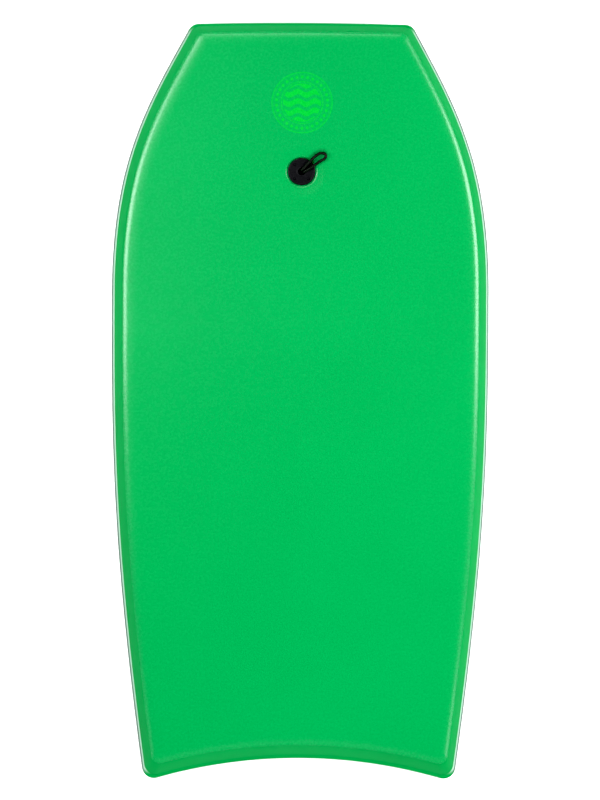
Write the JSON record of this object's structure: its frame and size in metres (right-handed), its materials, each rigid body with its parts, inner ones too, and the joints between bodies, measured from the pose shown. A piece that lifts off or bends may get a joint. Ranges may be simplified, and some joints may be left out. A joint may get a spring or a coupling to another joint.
{
  "type": "bodyboard",
  "caption": "Foam bodyboard with a tapered nose, crescent tail, chined rails, plastic slick and a leash plug with a cord loop that swivels and lifts.",
  "frame": {"origin": "centre of the board's outline, on the slick's flat face", "axes": "+Y toward the nose, +Z out of the deck, +X to the right seen from above with the nose up"},
  "size_m": [0.5334, 1.067, 0.0887],
  "materials": {
    "green_foam": "satin closed-cell foam skin with a fine stipple",
    "white_foam": "satin closed-cell foam",
    "core_foam": "matte expanded foam",
    "slick_plastic": "smooth, slightly glossy sheet",
    "black_plastic": "matte moulded plastic",
    "black_cord": "braided polyester cord"
  },
  "bodies": {
    "board": {"core_blank": "core_foam", "deck_skin": "green_foam", "slick_backing": "white_foam", "slick_sheet": "slick_plastic", "right_upper_rail": "green_foam", "left_upper_rail": "green_foam", "right_lower_rail": "white_foam", "left_lower_rail": "white_foam", "nose_bumper": "green_foam", "tail_bumper": "green_foam", "leash_plug_top": "black_plastic", "leash_plug_bottom": "black_plastic"},
    "leash_knot": {"leash_knot": "black_cord", "leash_stem": "black_cord"},
    "leash_loop": {"leash_loop": "black_cord"}
  },
  "joints": [
    {"name": "loop_swivel", "type": "hinge", "parent": "board", "child": "leash_knot", "pos_m": [0, 0.32351, 0.0635], "axis": [0, -0.0901, 0.9959], "continuous": true},
    {"name": "loop_lift", "type": "hinge", "parent": "leash_knot", "child": "leash_loop", "pos_m": [0, 0.32319, 0.06704], "axis": [0.6157, -0.7848, -0.071], "range_deg": [0, 90]}
  ]
}
